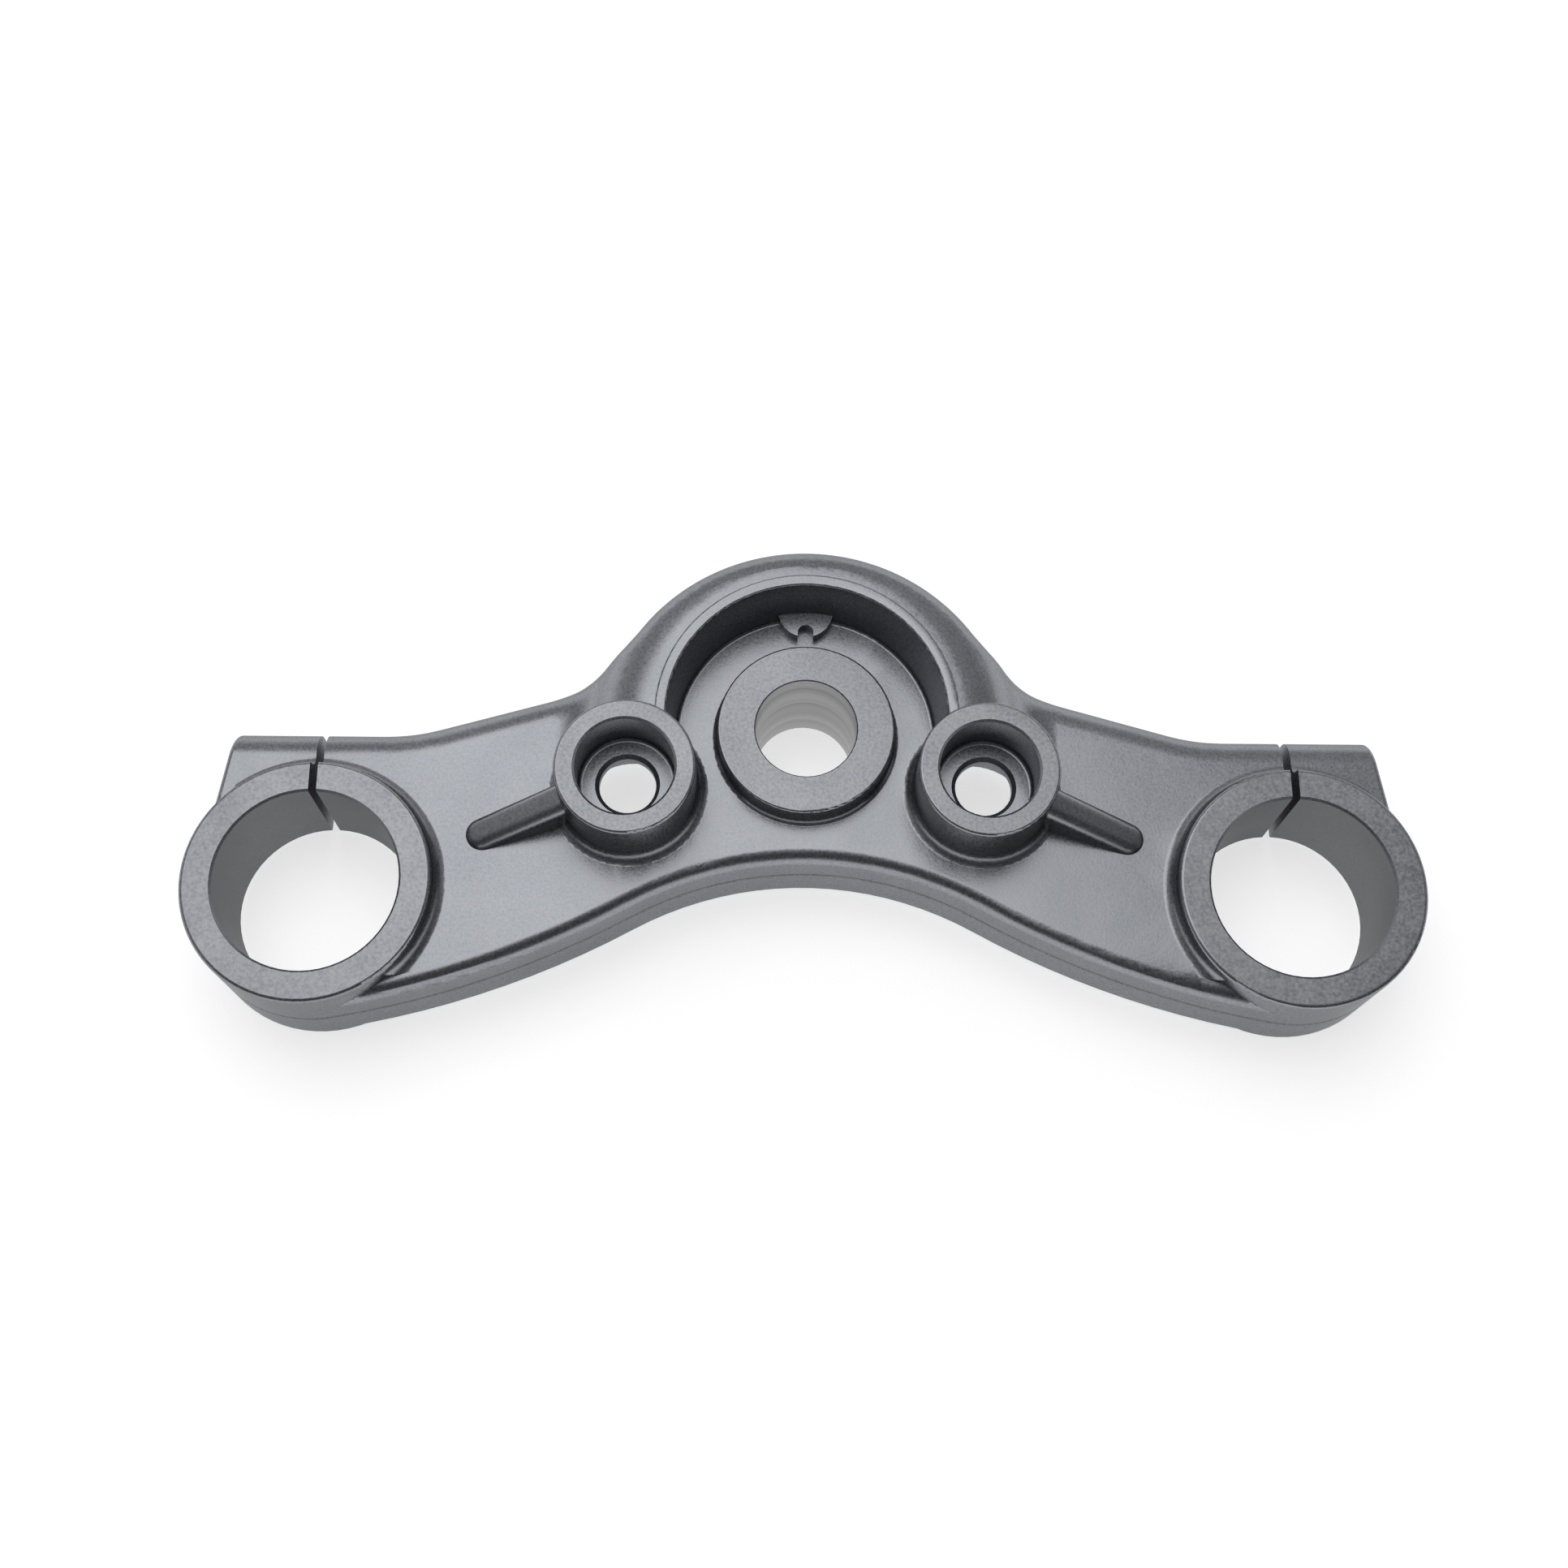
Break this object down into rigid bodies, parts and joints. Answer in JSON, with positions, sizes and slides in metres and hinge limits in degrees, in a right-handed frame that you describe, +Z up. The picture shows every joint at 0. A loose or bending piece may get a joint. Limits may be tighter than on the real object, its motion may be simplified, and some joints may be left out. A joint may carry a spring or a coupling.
{
  "type": "motorcycle triple clamp",
  "caption": "Cast upper yoke that clamps fork tubes in split rings and sits on the steering stem, with cups for rubber-mounted handlebar risers and a raised arch behind the stem.",
  "frame": {"origin": "on the steering stem's axis, at the underside of the hub", "axes": "+X across the motorcycle to the right as seen by someone facing its front, +Y towards the motorcycle's rear, +Z up along the stem"},
  "size_m": [0.2752, 0.1056, 0.0405],
  "materials": {
    "casting": "satin grey metallic paint on cast aluminium, with machined faces"
  },
  "bodies": {
    "root": {"top_clamp": "casting"}
  },
  "joints": []
}
